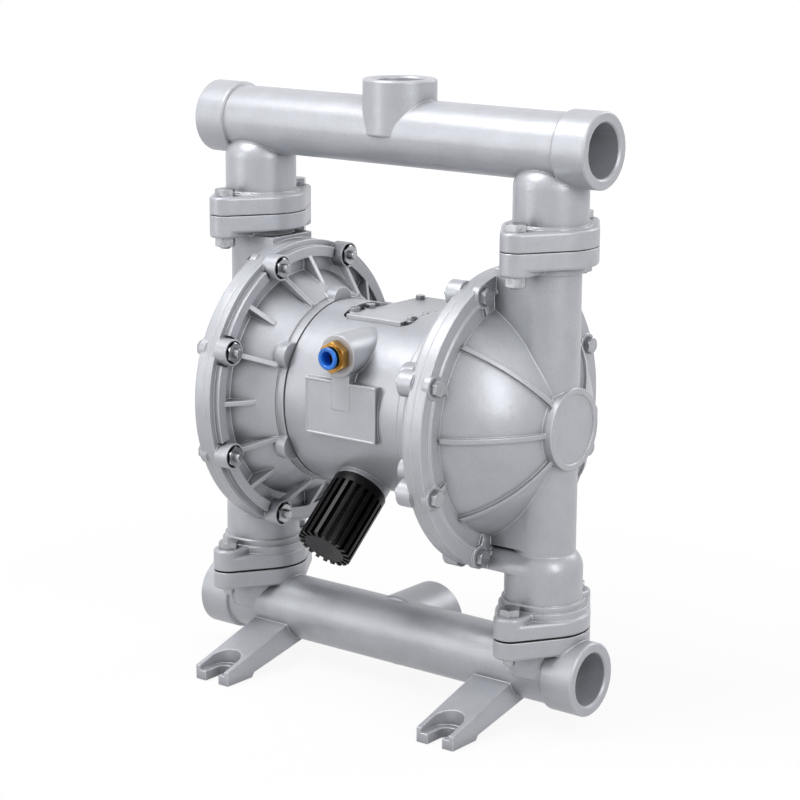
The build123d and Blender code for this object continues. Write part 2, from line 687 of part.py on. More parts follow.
with BuildPart() as right_air_chamber:
    add(turned(chamber_outline, disc_frame))
    with BuildSketch(Plane.YZ.offset(air_back_x - air_land_rise)):
        with Locations((0, axis_z)):
            Circle(air_land_r)
            Circle(land_low_r, mode=Mode.SUBTRACT)
        with Locations([on_circle(chamber_bolt_circle_r, angle, 0)[1:] for angle in bolt_angles]):
            Circle(air_boss_clear_r, mode=Mode.SUBTRACT)
    extrude(amount=air_land_rise + 1)
    for angle in bolt_angles:
        add(rod(on_circle(chamber_bolt_circle_r, angle, air_boss_x), (1, 0, 0), air_boss_r, air_boss_rise + 1))
        add(radial_plate(long_rib, angle, rib_t))
    for angle in middle_angles:
        add(radial_plate(short_rib, angle, rib_t))
    for angle in screw_angles:
        with BuildPart():
            add(rod(on_circle(lobe_circle_r, angle, hub_x), (1, 0, 0), lobe_r, lobe_w))
            fillet(edges().filter_by(GeomType.CIRCLE).sort_by(Axis.X)[-1], lobe_edge_r)
    cavity = [
        (partition_x, 0),
        (partition_x, cone_neck_r - cone_wall),
        (seam_x - bead_w / 2, cone_foot_r - cone_wall + 2),
        (seam_x - bead_w / 2, bead_r + bead_gap),
        (seam_x, bead_r + bead_gap),
        (seam_x, 0),
    ]
    add(turned(cavity, disc_frame), mode=Mode.SUBTRACT)
    add(rod((hub_x, 0, axis_z), (1, 0, 0), shaft_r + hole_gap, partition_w), mode=Mode.SUBTRACT)
    add(rod((partition_x, 0, axis_z), (-1, 0, 0), shaft_r + bush_wall, seal_w), mode=Mode.SUBTRACT)
    add(rod((hub_x, 0, pilot_z), (1, 0, 0), pilot_r + hole_gap, partition_w), mode=Mode.SUBTRACT)
    add(rod((hub_x, chamber_port_y, spool_z), (1, 0, 0), gallery_r, partition_w), mode=Mode.SUBTRACT)
    for angle in screw_angles:
        add(rod(on_circle(body_screw_r, angle, hub_x), (1, 0, 0), m6_r + hole_gap, partition_w), mode=Mode.SUBTRACT)
    for angle in bolt_angles:
        hole = rod(on_circle(chamber_bolt_circle_r, angle, nut_seat_x), (1, 0, 0), m8_r + hole_gap, seam_x - nut_seat_x)
        add(hole, mode=Mode.SUBTRACT)
        nut_recess = rod(on_circle(chamber_bolt_circle_r, angle, air_boss_x), (1, 0, 0), nut_recess_r, nut_recess_depth)
        add(nut_recess, mode=Mode.SUBTRACT)
save(right_air_chamber, "right_air_chamber")

with BuildPart() as left_air_chamber:
    add(other_side(right_air_chamber.part))
save(left_air_chamber, "left_air_chamber")

# ---------------------------------------------------------------- centre body
chest_z = axis_z + chest_seat
body_screw_end = partition_x - m6_length
screw_spots = [(side * cover_screw_x, y) for side in sides for y in cover_screw_ys]
screw_spots += [(side * cover_rear_screw[0], cover_rear_screw[1]) for side in sides]
pocket_y = sum(cover_screw_ys) / 2
sleeve_r = spool_r + sleeve_wall
valve_bore_front = -sleeve_length / 2 - front_plug_w
pad_z = axis_z + pad_rise
feed_from = Vector(front_x, -inlet_boss_face + fitting_thread_length, inlet_boss_z + 2)
feed_to = Vector(0, chest_front_y + feed_slot_w / 2, chest_z - feed_slot_depth + 2)
with BuildPart() as center_body:
    add(rod((-body_half, 0, axis_z), (1, 0, 0), body_r, 2 * body_half))
    with Locations((0, chest_rear_y / 2, chest_z - chest_seat / 2)):
        Box(2 * chest_half_w, chest_rear_y, chest_seat)
    with Locations((front_x, -pad_face / 2, pad_z)):
        Box(pad_w, pad_face, pad_h)
    with Locations((front_x, -pad_face, pad_z)):
        Box(pad_w - 2 * pad_border, 2 * pad_recess, pad_h - 2 * pad_border, mode=Mode.SUBTRACT)
    with Locations((front_x, -pad_face / 2, (inlet_boss_z + pad_z) / 2)):
        Box(inlet_neck_w, pad_face, inlet_boss_z - pad_z)
    add(rod((front_x, -body_r / 2, inlet_boss_z), (0, -1, 0), inlet_boss_r, inlet_boss_face - body_r / 2))
    add(rod(muffler_origin + muffler_dir * body_r / 2, muffler_dir, muffler_boss_r, muffler_start - body_r / 2))
    # seat and screw pockets of the valve cover
    with Locations((0, (chest_front_y + chest_rear_y) / 2, chest_z)):
        Box(2 * chest_half_w + 1, chest_rear_y - chest_front_y + 1, body_r, align=base, mode=Mode.SUBTRACT)
    for side in sides:
        with BuildSketch(Plane.XY.offset(chest_z - cover_pocket_depth)):
            with Locations((side * cover_screw_x, pocket_y)):
                SlotOverall(cover_pocket_length, 2 * cover_ear_r, rotation=90)
            with Locations([(side * cover_screw_x, screw_y) for screw_y in cover_screw_ys]):
                Circle(cover_ear_r + hole_gap, mode=Mode.SUBTRACT)
        extrude(amount=cover_pocket_depth, mode=Mode.SUBTRACT)
        with BuildSketch(Plane.XY.offset(chest_z)):
            with Locations((side * cover_screw_x, pocket_y)):
                SlotOverall(cover_pocket_length, 2 * cover_ear_r, rotation=90)
        extrude(amount=body_r, mode=Mode.SUBTRACT)
    for x, y in screw_spots:
        hole = rod((x, y, chest_z), (0, 0, -1), m5_r + thread_gap, m5_length)
        add(hole, mode=Mode.SUBTRACT)
    # shaft, pilot and spool bores
    add(rod((-body_half, 0, axis_z), (1, 0, 0), shaft_r + 2 * hole_gap, 2 * body_half), mode=Mode.SUBTRACT)
    for side in sides:
        bush_bore = rod((side * body_half, 0, axis_z), (-side, 0, 0), shaft_r + bush_wall, bush_length)
        add(bush_bore, mode=Mode.SUBTRACT)
    add(rod((-body_half, 0, pilot_z), (1, 0, 0), pilot_r + pilot_wall, 2 * body_half), mode=Mode.SUBTRACT)
    valve_bore = rod((0, valve_bore_front, spool_z), (0, 1, 0), sleeve_r, chest_rear_y - valve_bore_front)
    add(valve_bore, mode=Mode.SUBTRACT)
    # galleries: air in, to the chambers, and out to the muffler
    add(rod(feed_from, feed_to - feed_from, gallery_r - 1, (feed_to - feed_from).length), mode=Mode.SUBTRACT)
    with Locations((0, (chest_front_y + 2 * feed_slot_w) / 2, chest_z)):
        slot_top = (Align.CENTER, Align.CENTER, Align.MAX)
        slot_length = 2 * feed_slot_w - chest_front_y - feed_slot_w / 2
        Box(feed_slot_w, slot_length, feed_slot_depth, align=slot_top, mode=Mode.SUBTRACT)
    add(rod((0, 0, spool_z), (0, 0, 1), gallery_r, chest_seat - spool_rise), mode=Mode.SUBTRACT)
    for side in sides:
        port = rod((0, side * chamber_port_y, spool_z), (side, 0, 0), gallery_r, body_half)
        add(port, mode=Mode.SUBTRACT)
        drop = rod((0, side * exhaust_port_y, spool_z), (0, 0, -1), gallery_r, spool_rise + exhaust_gallery_drop)
        add(drop, mode=Mode.SUBTRACT)
    cross = rod((0, -exhaust_port_y, axis_z - exhaust_gallery_drop), (0, 1, 0), gallery_r, 2 * exhaust_port_y)
    add(cross, mode=Mode.SUBTRACT)
    exhaust_bore = rod(muffler_origin + muffler_dir * muffler_start, -muffler_dir, nipple_r - nipple_wall, muffler_start / 2)
    add(exhaust_bore, mode=Mode.SUBTRACT)
    nipple_hole = rod(muffler_origin + muffler_dir * muffler_start, -muffler_dir, nipple_r + thread_gap, nipple_depth)
    add(nipple_hole, mode=Mode.SUBTRACT)
    inlet_start = Vector(front_x, -inlet_boss_face, inlet_boss_z)
    add(rod(inlet_start, (0, 1, 0), fitting_thread_r + thread_gap, fitting_thread_length + 1), mode=Mode.SUBTRACT)
    for side in sides:
        for angle in screw_angles:
            start = on_circle(body_screw_r, angle, side * body_half)
            hole = rod(start, (-side, 0, 0), m6_r + thread_gap, body_half - body_screw_end + 2)
            add(hole, mode=Mode.SUBTRACT)
save(center_body, "center_body")

with BuildPart() as right_body_gasket:
    add(tube((body_half, 0, axis_z), (1, 0, 0), gasket_r, shaft_r + bush_wall, gasket_w))
    add(rod((body_half, 0, pilot_z), (1, 0, 0), pilot_r + hole_gap, gasket_w), mode=Mode.SUBTRACT)
    add(rod((body_half, chamber_port_y, spool_z), (1, 0, 0), gallery_r, gasket_w), mode=Mode.SUBTRACT)
    for angle in screw_angles:
        add(rod(on_circle(body_screw_r, angle, body_half), (1, 0, 0), m6_r + hole_gap, gasket_w), mode=Mode.SUBTRACT)
save(right_body_gasket, "right_body_gasket")

with BuildPart() as left_body_gasket:
    add(other_side(right_body_gasket.part))
save(left_body_gasket, "left_body_gasket")

# ---------------------------------------------------------------- ball check valves


def ball_seat(joint_z, gap, side):
    """Seat ring of one flange joint, with an O-ring groove in each face."""
    low, high = seat_heights(joint_z, gap)
    outline = [
        (low, seat_bore_r),
        (low, seat_r),
        (high, seat_r),
        (high, seat_cone_r),
        (high - seat_cone_r + seat_bore_r, seat_bore_r),
    ]
    with BuildPart() as seat:
        add(turned(outline, valve_frame))
        for start, direction in ((low, 1), (high, -1)):
            groove = tube(
                (leg_x, 0, start), (0, 0, direction), oring_circle_r + oring_r, oring_circle_r - oring_r, 2 * oring_r
            )
            add(groove, mode=Mode.SUBTRACT)
    return seat.part if side > 0 else other_side(seat.part)


for joint, joint_z, gap, ball_z in (
    ("outlet", outlet_joint_z, outlet_gap, outlet_ball_z),
    ("inlet", inlet_joint_z, inlet_gap, inlet_ball_z),
):
    for side, side_name in ((1, "right"), (-1, "left")):
        with BuildPart() as ball_valve_seat:
            add(ball_seat(joint_z, gap, side))
        save(ball_valve_seat, f"{joint}_seat_{side_name}")
        with BuildPart() as valve_ball:
            with Locations((side * leg_x, 0, ball_z)):
                Sphere(ball_r)
        save(valve_ball, f"{joint}_ball_{side_name}")

    with BuildPart() as seat_orings:
        seat_low, seat_high = seat_heights(joint_z, gap)
        for side in sides:
            for ring_z in (seat_low + oring_r, seat_high - oring_r):
                with Locations((side * leg_x, 0, ring_z)):
                    Torus(oring_circle_r, oring_r)
    save(seat_orings, f"{joint}_seat_orings")

# ---------------------------------------------------------------- diaphragms and shaft
web_in = diaphragm_x - diaphragm_w / 2
web_out = diaphragm_x + diaphragm_w / 2
bead_low_r = bead_r - bead_ring_w
centre_hole_r = stud_r + hole_gap / 2
web_outline = [
    (web_in, centre_hole_r),
    (web_in, plate_r + 4),
    (web_in + 4, plate_r + 18),
    (seam_x - diaphragm_w, bead_low_r - 10),
    (seam_x - diaphragm_w / 2, bead_low_r),
    (seam_x - bead_w / 2, bead_low_r),
    (seam_x - bead_w / 2, bead_r),
    (seam_x + bead_w / 2, bead_r),
    (seam_x + bead_w / 2, bead_low_r),
    (seam_x + diaphragm_w / 2, bead_low_r),
    (seam_x + diaphragm_w / 4, bead_low_r - 7),
    (web_out + 4.5, plate_r + 14),
    (web_out, plate_r + 2),
    (web_out, centre_hole_r),
]
inner_plate = [
    (inner_plate_x, centre_hole_r),
    (inner_plate_x, plate_r - 14),
    (inner_plate_x + 5, plate_r - 2),
    (inner_plate_x + 7, plate_r),
    (web_in, plate_r),
    (web_in, centre_hole_r),
]
outer_plate = [
    (web_out, centre_hole_r),
    (web_out, plate_r),
    (web_out + 3, plate_r),
    (web_out + 5, plate_r - 3),
    (web_out + outer_plate_w, plate_r / 3),
    (web_out + outer_plate_w, centre_hole_r),
]
for side, side_name in ((1, "right"), (-1, "left")):
    for piece_name, outline in (
        (f"{side_name}_diaphragm", web_outline),
        (f"inner_plate_{side_name}", inner_plate),
        (f"outer_plate_{side_name}", outer_plate),
    ):
        with BuildPart() as disc:
            turned_disc = turned(outline, disc_frame)
            add(turned_disc if side > 0 else other_side(turned_disc))
        save(disc, piece_name)
    with BuildPart() as shaft_bush:
        start = (side * (body_half - bush_length), 0, axis_z)
        add(tube(start, (side, 0, 0), shaft_r + bush_wall, shaft_r + running_gap, bush_length))
    save(shaft_bush, f"shaft_bush_{side_name}")
    with BuildPart() as shaft_seal:
        start = (side * partition_x, 0, axis_z)
        add(tube(start, (-side, 0, 0), shaft_r + bush_wall, shaft_r + running_gap, seal_w))
    save(shaft_seal, f"shaft_seal_{side_name}")

nut_x = web_out + outer_plate_w
stud_end = nut_x + shaft_nut_t + thread_end
with BuildPart() as diaphragm_shaft:
    add(rod((-stud_end, 0, axis_z), (1, 0, 0), stud_r, 2 * stud_end))
    add(rod((-inner_plate_x, 0, axis_z), (1, 0, 0), shaft_r, 2 * inner_plate_x))
save(diaphragm_shaft, "diaphragm_shaft")

with BuildPart() as shaft_nuts:
    for side in sides:
        nut = hex_nut(shaft_nut_af, shaft_nut_t, stud_r + thread_gap)
        add(placed(nut, (side * nut_x, 0, axis_z), (side, 0, 0)))
save(shaft_nuts, "shaft_nuts")

# ---------------------------------------------------------------- pilot pin and main spool
pilot_half = inner_plate_x - stroke + pilot_stroke - seat_gap
with BuildPart() as pilot_pin:
    add(rod((-pilot_half, 0, pilot_z), (1, 0, 0), pilot_r, 2 * pilot_half))
save(pilot_pin, "pilot_pin")

with BuildPart() as pilot_sleeve:
    add(tube((-body_half, 0, pilot_z), (1, 0, 0), pilot_r + pilot_wall, pilot_r + running_gap, 2 * body_half))
save(pilot_sleeve, "pilot_sleeve")

spool_outline = [(-spool_length / 2, 0)]
for land_y in (-(spool_length - spool_land_w) / 2, 0, (spool_length - spool_land_w) / 2):
    for y, radius in ((-1, spool_neck_r), (-1, spool_r), (1, spool_r), (1, spool_neck_r)):
        spool_outline.append((land_y + y * spool_land_w / 2, radius))
spool_outline.append((spool_length / 2, 0))
with BuildPart() as main_spool:
    add(turned(spool_outline, spool_frame))
save(main_spool, "main_spool")

with BuildPart() as spool_sleeve:
    add(tube((0, -sleeve_length / 2, spool_z), (0, 1, 0), sleeve_r, spool_r + running_gap, sleeve_length))
    add(rod((0, 0, spool_z), (0, 0, 1), gallery_r, sleeve_r), mode=Mode.SUBTRACT)
    for side in sides:
        add(rod((0, side * chamber_port_y, spool_z), (side, 0, 0), gallery_r, sleeve_r), mode=Mode.SUBTRACT)
        add(rod((0, side * exhaust_port_y, spool_z), (0, 0, -1), gallery_r, sleeve_r), mode=Mode.SUBTRACT)
save(spool_sleeve, "spool_sleeve")

with BuildPart() as spool_plug_front:
    add(rod((0, valve_bore_front, spool_z), (0, 1, 0), sleeve_r - thread_gap, front_plug_w))
save(spool_plug_front, "spool_plug_front")

plug_length = chest_rear_y - sleeve_length / 2
with BuildPart() as spool_plug_rear:
    add(rod((0, sleeve_length / 2, spool_z), (0, 1, 0), sleeve_r - thread_gap, plug_length))
    with BuildSketch(Plane(origin=(0, chest_rear_y, spool_z), z_dir=(0, 1, 0))):
        RegularPolygon(m8_r + m6_r, 6)
    extrude(amount=-plug_length / 3, mode=Mode.SUBTRACT)
save(spool_plug_rear, "spool_plug_rear")

# ---------------------------------------------------------------- valve cover


def cover_outline(low, height):
    """Plate of the valve cover's outline: a rectangle with an ear at each front screw."""
    with BuildPart() as plate:
        with BuildSketch(Plane.XY.offset(low)):
            with Locations((0, (chest_front_y + chest_rear_y) / 2)):
                Rectangle(2 * chest_half_w, chest_rear_y - chest_front_y)
            with Locations([spot for spot in screw_spots if abs(spot[0]) == cover_screw_x]):
                Circle(cover_ear_r - hole_gap)
            with Locations(screw_spots):
                Circle(m5_r + hole_gap, mode=Mode.SUBTRACT)
        extrude(amount=height)
    return plate.part


with BuildPart() as valve_cover_gasket:
    add(cover_outline(chest_z, cover_gasket_t))
save(valve_cover_gasket, "valve_cover_gasket")

cover_plate_top = chest_z + cover_gasket_t + valve_cover_t
with BuildPart() as valve_cover:
    add(cover_outline(chest_z + cover_gasket_t, valve_cover_t))
save(valve_cover, "valve_cover")

with BuildPart() as valve_cover_bolts:
    for x, y in screw_spots:
        add(placed(hex_bolt(m5_af, m5_head_t, m5_r, m5_length), (x, y, cover_plate_top), (0, 0, 1)))
save(valve_cover_bolts, "valve_cover_bolts")

# ---------------------------------------------------------------- air fitting
nose_y = inlet_boss_face + fitting_hex_w + fitting_nose_w
release_y = nose_y + release_travel + hole_gap / 5
tail_y = release_y - release_tail_length
socket_y = tail_y - release_travel - hole_gap
with BuildPart() as fitting_body:
    with BuildSketch(Plane(origin=inlet_start, z_dir=(0, -1, 0))):
        RegularPolygon(fitting_hex_af / 2, 6, major_radius=False)
    extrude(amount=fitting_hex_w)
    with BuildPart(mode=Mode.INTERSECT):
        add(rod(inlet_start, (0, -1, 0), fitting_hex_af / sqrt(3), fitting_hex_w))
        chamfer(edges().filter_by(GeomType.CIRCLE), length=fitting_hex_af * 0.05)
    add(rod(inlet_start, (0, -1, 0), fitting_nose_r, fitting_hex_w + fitting_nose_w))
    add(rod(inlet_start, (0, 1, 0), fitting_thread_r, fitting_thread_length))
    fitting_bore = [
        (inlet_boss_face - fitting_thread_length, 0),
        (inlet_boss_face - fitting_thread_length, fitting_flow_r),
        (socket_y - tube_socket_length, fitting_flow_r),
        (socket_y - tube_socket_length, tube_hole_r),
        (socket_y, tube_hole_r),
        (socket_y, release_tail_r + running_gap),
        (nose_y, release_tail_r + running_gap),
        (nose_y, 0),
    ]
    add(turned(fitting_bore, fitting_frame), mode=Mode.SUBTRACT)
save(fitting_body, "fitting_body")

with BuildPart() as release_ring:
    ring_outline = [
        (tail_y, tube_hole_r),
        (tail_y, release_tail_r),
        (release_y, release_tail_r),
        (release_y, release_r - 0.5),
        (release_y + 0.5, release_r),
        (release_y + release_w - 0.8, release_r),
        (release_y + release_w, release_r - 0.8),
        (release_y + release_w, tube_hole_r + 0.6),
        (release_y + release_w - 0.6, tube_hole_r),
    ]
    add(turned(ring_outline, fitting_frame))
save(release_ring, "release_ring")

# ---------------------------------------------------------------- muffler
muffler_end = muffler_start + muffler_length
cavity_start = muffler_start + nipple_reach
cavity_end = muffler_end - muffler_end_w
cavity_r = muffler_r - muffler_slot_depth - muffler_wall
with BuildPart() as muffler_housing:
    housing_outline = [
        (muffler_start, nipple_r + thread_gap),
        (muffler_start, muffler_r - 2),
        (muffler_start + 2, muffler_r),
        (muffler_end - muffler_end_chamfer, muffler_r),
        (muffler_end, muffler_r - muffler_end_chamfer),
        (muffler_end, 0),
        (cavity_end, 0),
        (cavity_end, cavity_r),
        (cavity_start, cavity_r),
        (cavity_start, nipple_r + thread_gap),
    ]
    add(turned(housing_outline, muffler_frame))
    slot_start = muffler_start + muffler_collar_w
    for k in range(muffler_slots):
        turn = radians(k * 360 / muffler_slots)
        outward = Vector(cos(turn), 0, 0) + muffler_frame.y_dir * sin(turn)
        slot_plane = Plane(origin=muffler_origin, x_dir=muffler_dir, z_dir=muffler_dir.cross(outward))
        with BuildSketch(slot_plane):
            with Locations((slot_start + muffler_length / 2, muffler_r)):
                Rectangle(muffler_length, 2 * muffler_slot_depth)
        extrude(amount=muffler_slot_w / 2, both=True, mode=Mode.SUBTRACT)
        with BuildSketch(slot_plane):
            with Locations(((slot_start + cavity_end) / 2, muffler_r - muffler_slot_depth)):
                Rectangle(cavity_end - slot_start - 2 * muffler_wall, 3 * muffler_wall)
        extrude(amount=muffler_window_w / 2, both=True, mode=Mode.SUBTRACT)
save(muffler_housing, "muffler_housing")

with BuildPart() as muffler_element:
    start = muffler_origin + muffler_dir * cavity_start
    add(tube(start, muffler_dir, cavity_r - seat_gap, cavity_r - element_wall, cavity_end - cavity_start))
save(muffler_element, "muffler_element")

with BuildPart() as muffler_nipple:
    start = muffler_origin + muffler_dir * (muffler_start - nipple_depth)
    add(tube(start, muffler_dir, nipple_r, nipple_r - nipple_wall, nipple_depth + nipple_reach))
save(muffler_nipple, "muffler_nipple")

# ---------------------------------------------------------------- fasteners
m8_bolt_grip = cover_pad_x - nut_seat_x
for side, side_name in ((1, "right"), (-1, "left")):
    with BuildPart() as chamber_bolt_set:
        for angle in bolt_angles:
            bolt = hex_bolt(m8_af, m8_head_t, m8_r, m8_bolt_grip + m8_nut_t + chamber_thread_end)
            spot = on_circle(chamber_bolt_circle_r, angle, side * cover_pad_x)
            add(placed(bolt, spot, (side, 0, 0)))
    save(chamber_bolt_set, f"chamber_bolts_{side_name}")
    with BuildPart() as chamber_nut_set:
        for angle in bolt_angles:
            spot = on_circle(chamber_bolt_circle_r, angle, side * nut_seat_x)
            add(placed(hex_nut(chamber_nut_af, m8_nut_t, m8_r + thread_gap), spot, (-side, 0, 0)))
    save(chamber_nut_set, f"chamber_nuts_{side_name}")
    with BuildPart() as body_screw_set:
        for angle in screw_angles:
            spot = on_circle(body_screw_r, angle, side * partition_x)
            screw = rod((0, 0, 0), (0, 0, 1), m6_head_r, m6_head_t) + rod((0, 0, 0), (0, 0, -1), m6_r, m6_length)
            add(placed(screw, spot, (side, 0, 0)))
    save(body_screw_set, f"body_screws_{side_name}")

lug_spots = [(side * leg_x, lug_y) for side in sides for lug_y in lug_ys]
for joint, head_z, length in (
    ("upper", outlet_flange_top, outlet_flange_top - cover_top_lug_z + m10_nut_t + thread_end),
    ("lower", cover_lug_z, cover_lug_z - inlet_flange_low + lower_thread_end),
):
    with BuildPart() as manifold_bolts:
        for x, y in lug_spots:
            add(placed(hex_bolt(m10_af, m10_head_t, m10_r, length), (x, y, head_z), (0, 0, 1)))
    save(manifold_bolts, f"{joint}_joint_bolts")

with BuildPart() as upper_joint_nuts:
    for x, y in lug_spots:
        nut = hex_nut(m10_af, m10_nut_t, m10_r + thread_gap)
        add(placed(nut, (x, y, cover_top_lug_z), (0, 0, -1)))
save(upper_joint_nuts, "upper_joint_nuts")
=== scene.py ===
"""Air operated diaphragm pump: finish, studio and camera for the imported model. Units are metres."""

import json
from math import cos, sin

import bpy
from mathutils import Matrix, Vector

MM = 0.001

# Camera, solved from the photograph
CAMERA_AT = Vector((1.21118, -1.56520, 0.71203))
CAMERA_AZIMUTH = 0.657713
CAMERA_ELEVATION = 0.226890
CAMERA_ROLL = 0.006488
CAMERA_LENS = 105.84
SENSOR = 36.0
CAMERA_REACH = 20  # far end of what it sees

# Finishes
CASTING_COLOUR = (0.52, 0.53, 0.57)
CASTING_DARK = (0.44, 0.45, 0.49)
# painted highlight: pale colour laid on the casting's rounded edges
CASTING_EDGE_HIGHLIGHT = (0.80, 0.81, 0.84)
STEEL_COLOUR = (0.44, 0.45, 0.47)
BRASS_COLOUR = (0.56, 0.32, 0.09)
BLUE_COLOUR = (0.02, 0.20, 0.75)
BLACK_COLOUR = (0.003, 0.003, 0.0035)

# Studio
LAMP_TARGET = (0, 0, 0.27)  # middle of the object
LAMPS = (  # name, position, width, height, power
    ("key_box", (-0.6, -0.8, 2.0), 1.1, 1.1, 28),
    ("left_box", (-1.2, -1.9, 0.8), 0.6, 1.4, 9),
    ("right_box", (1.8, -0.6, 1.1), 0.6, 1.2, 15),
    ("back_box", (0.6, 1.6, 1.3), 0.8, 0.8, 8),
)
FLOOR_HALF = 6.0
FLOOR_Z = -0.5 * MM
FLOOR_GREY = 0.4
FLOOR_ROUGHNESS = 0.9
SKY_LOW, SKY_HIGH = 0.15, 0.45  # light from the sides and from above
SKY_LOW_Z, SKY_HIGH_Z = -0.2, 0.9  # heights of the view direction that have them
BACKDROP_STRENGTH = 1.0
GLOW_SHARE = 0.8  # of the floor's own white in what the camera sees of it
GLOW_NEAR, GLOW_FAR = 1.13, 1.26  # its strength under the object and far away
GLOW_NEAR_R, GLOW_FAR_R = 0.5, 1.6  # distances from the middle that have them


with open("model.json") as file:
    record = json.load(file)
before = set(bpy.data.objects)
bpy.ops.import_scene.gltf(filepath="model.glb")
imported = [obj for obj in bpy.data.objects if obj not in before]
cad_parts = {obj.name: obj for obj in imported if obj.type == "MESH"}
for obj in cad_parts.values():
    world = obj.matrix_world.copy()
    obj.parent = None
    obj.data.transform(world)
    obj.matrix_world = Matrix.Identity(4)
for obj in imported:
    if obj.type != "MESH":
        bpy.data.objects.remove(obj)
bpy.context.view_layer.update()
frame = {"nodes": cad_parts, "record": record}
nodes = frame["nodes"]


class Finish:
    """A material whose nodes are wired up one line at a time."""

    def __init__(self, name, colour, metallic, roughness):
        self.material = bpy.data.materials.new(name)
        self.material.use_nodes = True
        self.tree = self.material.node_tree
        self.shader = self.tree.nodes["Principled BSDF"]
        self.shader.inputs["Metallic"].default_value = metallic
        self.shader.inputs["Roughness"].default_value = roughness
        self.shader.inputs["Base Color"].default_value = (*colour, 1)
        self.place = self.add("ShaderNodeTexCoord").outputs["Object"]

    def add(self, kind, **settings):
        node = self.tree.nodes.new(kind)
        for key, value in settings.items():
            setattr(node, key, value)
        return node

    def link(self, start, end):
        self.tree.links.new(start, end)

    def noise(self, size, detail=2.0, roughness=0.5):
        """Noise whose blobs are about this size, in metres."""
        node = self.add("ShaderNodeTexNoise")
        node.inputs["Scale"].default_value = 1 / size
        node.inputs["Detail"].default_value = detail
        node.inputs["Roughness"].default_value = roughness
        self.link(self.place, node.inputs["Vector"])
        return node.outputs["Fac"]

    def ramp(self, value, low, high, start=0.35, end=0.65):
        """Colours (or greys) low to high as the value goes from start to end."""
        node = self.add("ShaderNodeValToRGB")
        for element, position, shade in zip(node.color_ramp.elements, (start, end), (low, high)):
            element.position = position
            element.color = (*shade, 1) if isinstance(shade, tuple) else (shade, shade, shade, 1)
        self.link(value, node.inputs["Fac"])
        return node.outputs["Color"]

    def mix(self, first, second, amount=1.0, blend="MULTIPLY"):
        node = self.add("ShaderNodeMix", data_type="RGBA", blend_type=blend)
        if isinstance(amount, float):
            node.inputs["Factor"].default_value = amount
        else:
            self.link(amount, node.inputs["Factor"])
        self.link(first, node.inputs["A"])
        self.link(second, node.inputs["B"])
        return node.outputs["Result"]

    def bump(self, height, depth, below=None):
        """Normal from a height, whose full range is depth metres."""
        node = self.add("ShaderNodeBump")
        node.inputs["Strength"].default_value = 1.0
        node.inputs["Distance"].default_value = depth
        self.link(height, node.inputs["Height"])
        if below is not None:
            self.link(below, node.inputs["Normal"])
        return node.outputs["Normal"]

    def soft_edges(self, radius):
        node = self.add("ShaderNodeBevel", samples=6)
        node.inputs["Radius"].default_value = radius
        return node.outputs["Normal"]

    def edge_mask(self, radius):
        """1 where the surface turns within this radius, and 0 on its flat and gently curved parts."""
        turned = self.add("ShaderNodeVectorMath", operation="DOT_PRODUCT")
        self.link(self.soft_edges(radius), turned.inputs[0])
        self.link(self.add("ShaderNodeNewGeometry").outputs["Normal"], turned.inputs[1])
        return self.ramp(turned.outputs["Value"], 1.0, 0.0, 0.90, 0.985)

    def painted_recess_shade(self, reach, darkest):
        """Painted shade: a colour factor that falls from 1 in the open to darkest in tight recesses."""
        node = self.add("ShaderNodeAmbientOcclusion", samples=6)
        node.inputs["Distance"].default_value = reach
        return self.ramp(node.outputs["AO"], darkest, 1.0, 0.15, 0.80)

    def finish(self, colour=None, roughness=None, normal=None):
        for socket, value in (("Base Color", colour), ("Roughness", roughness), ("Normal", normal)):
            if value is not None:
                self.link(value, self.shader.inputs[socket])
        return self.material


def casting(name, edge):
    """Shot-blasted silver aluminium: fine grain, soft patches, painted shade in recesses and a painted
    highlight on rounded edges.
    """
    look = Finish(name, CASTING_COLOUR, 0.30, 0.38)
    grain = look.noise(0.9 * MM, detail=3.0, roughness=0.6)
    patches = look.noise(22 * MM, detail=3.0)
    speckle = look.ramp(grain, CASTING_DARK, CASTING_COLOUR, 0.30, 0.62)
    tone = look.ramp(patches, 0.93, 1.0)
    # painted shade: recesses are darkened in the colour by ambient occlusion
    body = look.mix(look.mix(speckle, tone), look.painted_recess_shade(18 * MM, 0.22))
    # painted highlight: the rounded edges turn to the pale edge colour
    bright = look.ramp(patches, CASTING_EDGE_HIGHLIGHT, CASTING_EDGE_HIGHLIGHT)
    colour = look.mix(body, bright, look.edge_mask(0.7 * edge), "MIX")
    roughness = look.ramp(grain, 0.32, 0.44)
    waves = look.bump(look.noise(9 * MM), 0.25 * MM, look.soft_edges(edge))
    return look.finish(colour, roughness, look.bump(grain, 0.05 * MM, waves))


def turned_metal(name, colour, roughness, grain_size):
    """Machined or plated metal with fine scratches, faint stains and painted shade in crevices."""
    look = Finish(name, colour, 1.0, roughness)
    grain = look.noise(grain_size, detail=2.0)
    stains = look.noise(6 * MM, detail=2.0)
    stained = look.ramp(stains, tuple(c * 0.82 for c in colour), colour)
    # painted shade: crevices are darkened in the colour by ambient occlusion, on top of the stains
    shade = look.mix(look.mix(stained, look.ramp(grain, 0.9, 1.0)), look.painted_recess_shade(5 * MM, 0.4))
    rough = look.ramp(stains, roughness - 0.06, roughness + 0.1)
    return look.finish(shade, rough, look.bump(grain, 0.01 * MM, look.soft_edges(0.25 * MM)))


def moulded(name, colour, roughness, depth=0.04, specular=0.5):
    """Plastic or rubber with a faint moulded grain."""
    look = Finish(name, colour, 0.0, roughness)
    look.shader.inputs["Specular IOR Level"].default_value = specular
    grain = look.noise(0.8 * MM, detail=2.0)
    cloud = look.noise(15 * MM)
    shade = look.ramp(cloud, tuple(c * 0.8 for c in colour), tuple(min(1, c * 1.15) for c in colour))
    rough = look.ramp(grain, roughness - 0.05, roughness + 0.08)
    return look.finish(shade, rough, look.bump(grain, depth * MM, look.soft_edges(0.4 * MM)))


